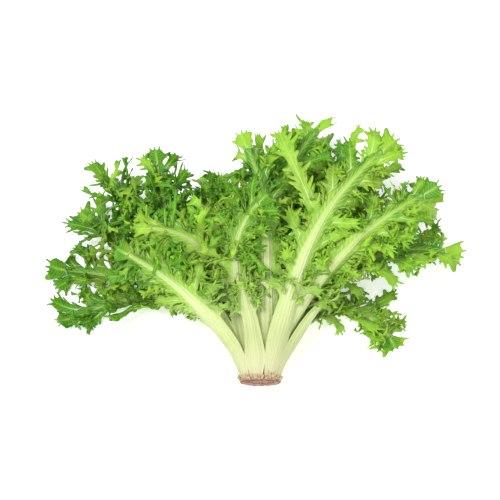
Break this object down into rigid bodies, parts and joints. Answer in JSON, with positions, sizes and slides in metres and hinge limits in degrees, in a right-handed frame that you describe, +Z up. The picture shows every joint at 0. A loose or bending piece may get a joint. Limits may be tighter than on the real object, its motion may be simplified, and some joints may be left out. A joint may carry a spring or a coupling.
{
  "type": "curly endive head",
  "caption": "Curly endive (frisee) head lying on its side: a short cut stem, pale midribs that fan out from it, and finely cut, curled yellow-green leaves.",
  "frame": {"origin": "centre of the bounding box's base, on the surface that the head lies on", "axes": "+X to the right across the spread of the leaves, +Y from the cut stem towards the leaf tips, +Z up"},
  "size_m": [0.3174, 0.227, 0.138],
  "materials": {
    "stem": "matte, moist, browned where it was cut",
    "outer_leaf": "satin, waxy green blade with a pale midrib",
    "inner_leaf": "satin, yellow-green blade with a pale midrib"
  },
  "bodies": {
    "root": {"stem": "stem", "outer_leaf_01": "outer_leaf", "outer_leaf_02": "outer_leaf", "outer_leaf_03": "outer_leaf", "outer_leaf_04": "outer_leaf", "outer_leaf_05": "outer_leaf", "outer_leaf_06": "outer_leaf", "outer_leaf_07": "outer_leaf", "outer_leaf_08": "outer_leaf", "second_leaf_01": "outer_leaf", "second_leaf_02": "outer_leaf", "second_leaf_03": "outer_leaf", "second_leaf_04": "outer_leaf", "second_leaf_05": "outer_leaf", "second_leaf_06": "outer_leaf", "second_leaf_07": "outer_leaf", "second_leaf_08": "outer_leaf", "third_leaf_01": "inner_leaf", "third_leaf_02": "inner_leaf", "third_leaf_03": "inner_leaf", "third_leaf_04": "inner_leaf", "third_leaf_05": "inner_leaf", "third_leaf_06": "inner_leaf", "third_leaf_07": "inner_leaf", "inner_leaf_01": "inner_leaf", "inner_leaf_02": "inner_leaf", "inner_leaf_03": "inner_leaf", "inner_leaf_04": "inner_leaf", "inner_leaf_05": "inner_leaf", "inner_leaf_06": "inner_leaf", "heart_leaf_01": "inner_leaf", "heart_leaf_02": "inner_leaf", "heart_leaf_03": "inner_leaf", "heart_leaf_04": "inner_leaf", "heart_leaf_05": "inner_leaf"}
  },
  "joints": []
}
